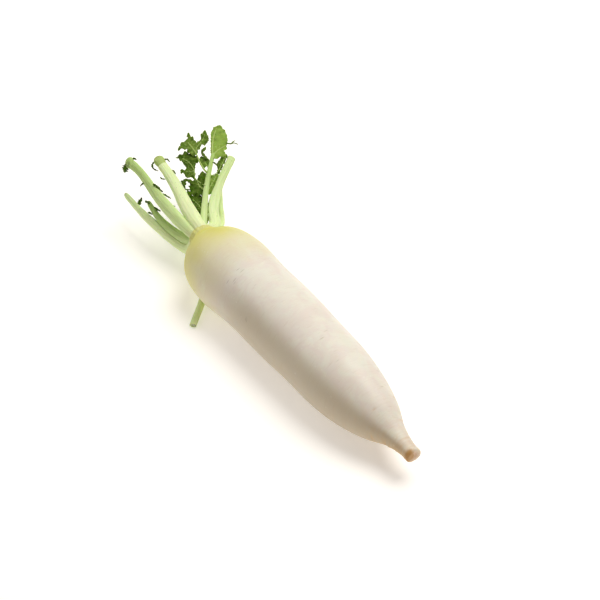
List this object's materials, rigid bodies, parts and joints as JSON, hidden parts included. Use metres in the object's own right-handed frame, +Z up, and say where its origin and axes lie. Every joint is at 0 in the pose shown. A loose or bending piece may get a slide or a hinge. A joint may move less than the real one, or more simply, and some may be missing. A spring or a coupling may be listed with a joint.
{
  "type": "daikon radish",
  "caption": "Long white daikon radish lying on its side, with trimmed green leafstalks, one lobed leaf and a cut root tip.",
  "frame": {"origin": "middle of the narrow flat on the belly where the root rests on the surface", "axes": "+X along the root from the leafy crown to the cut tip, +Z up from the surface"},
  "size_m": [0.4376, 0.1395, 0.0764],
  "materials": {
    "root_skin": "moist smooth root skin, creamy white, yellow-green at the crown, tan at the cut tip",
    "leafstalk": "waxy ribbed green leafstalk",
    "leafstalk_pale": "waxy ribbed pale green leafstalk",
    "leaf_blade": "soft veined green leaf",
    "leaf_blade_pale": "soft veined light green leaf",
    "torn_blade": "dull dark green torn leaf"
  },
  "bodies": {
    "root": {"root": "root_skin", "leafstalk_1": "leafstalk", "leafstalk_2": "leafstalk", "leafstalk_3": "leafstalk", "leafstalk_4": "leafstalk_pale", "leafstalk_5": "leafstalk", "leafstalk_6": "leafstalk_pale", "leafstalk_7": "leafstalk", "leafstalk_8": "leafstalk", "leaf_end_lobe": "leaf_blade_pale", "leaflet_left_1": "leaf_blade", "leaflet_left_2": "leaf_blade", "leaflet_left_3": "leaf_blade", "leaflet_left_4": "leaf_blade", "leaflet_left_5": "leaf_blade", "leaflet_right_1": "leaf_blade", "leaflet_right_2": "leaf_blade", "leaflet_right_3": "leaf_blade", "leaflet_left_curl": "leaf_blade", "leaflet_right_curl": "leaf_blade", "torn_leaflet_1": "torn_blade", "torn_leaflet_2": "torn_blade", "torn_leaflet_3": "torn_blade", "torn_leaflet_4": "torn_blade", "torn_leaflet_5": "torn_blade", "torn_leaflet_6": "torn_blade", "torn_leaflet_7": "torn_blade", "torn_leaflet_8": "torn_blade", "torn_leaflet_9": "torn_blade", "torn_leaflet_10": "torn_blade", "torn_leaflet_11": "torn_blade", "torn_leaflet_12": "torn_blade", "torn_leaflet_13": "torn_blade", "torn_leaflet_14": "torn_blade"}
  },
  "joints": []
}
